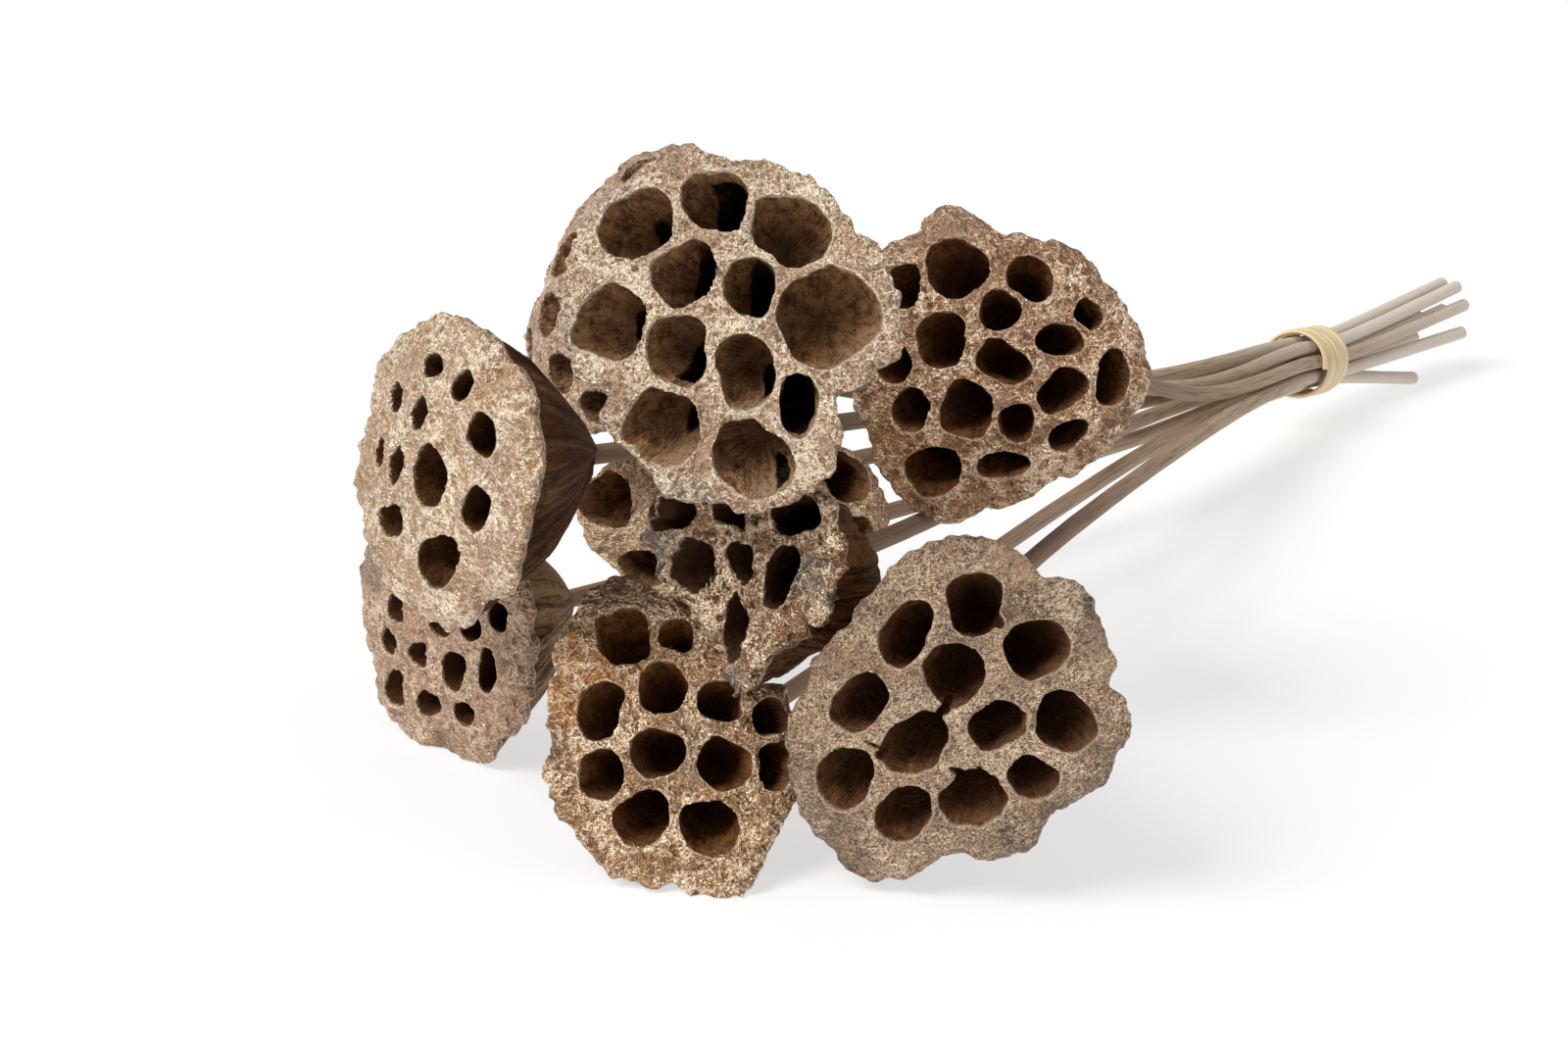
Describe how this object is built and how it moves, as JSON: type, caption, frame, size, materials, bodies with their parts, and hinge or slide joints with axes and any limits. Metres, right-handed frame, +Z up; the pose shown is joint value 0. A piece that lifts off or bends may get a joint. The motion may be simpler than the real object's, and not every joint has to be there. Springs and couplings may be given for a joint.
{
  "type": "tied bunch of dried lotus pods",
  "caption": "Bunch of dried lotus seed pods with a gold and bronze dusting, on long bare stems held together by a wound pale rubber band.",
  "frame": {"origin": "on the table, under the middle of the bunch's box", "axes": "+Z up from the table, +Y along the stems to their cut ends, the seed faces look to -Y"},
  "size_m": [0.2056, 0.5261, 0.1547],
  "materials": {
    "gold_pod": "metallic dusting, crumpled",
    "pale_gold_pod": "metallic dusting, fine grain",
    "silver_pod": "metallic dusting, creased",
    "taupe_pod": "matte, faint dusting",
    "bronze_pod": "metallic dusting, wrinkled",
    "brown_pod": "satin, wrinkled",
    "stem": "matte",
    "band": "matte"
  },
  "bodies": {
    "root": {"left_pod": "gold_pod", "left_stem": "stem", "low_left_pod": "brown_pod", "low_left_stem": "stem", "top_pod": "pale_gold_pod", "top_stem": "stem", "top_back_pod": "brown_pod", "top_back_stem": "stem", "middle_back_pod": "brown_pod", "middle_back_stem": "stem", "middle_pod": "silver_pod", "middle_stem": "stem", "bottom_pod": "gold_pod", "bottom_stem": "stem", "bottom_right_pod": "taupe_pod", "bottom_right_stem": "stem", "right_pod": "bronze_pod", "right_stem": "stem", "tie_band": "band"}
  },
  "joints": []
}
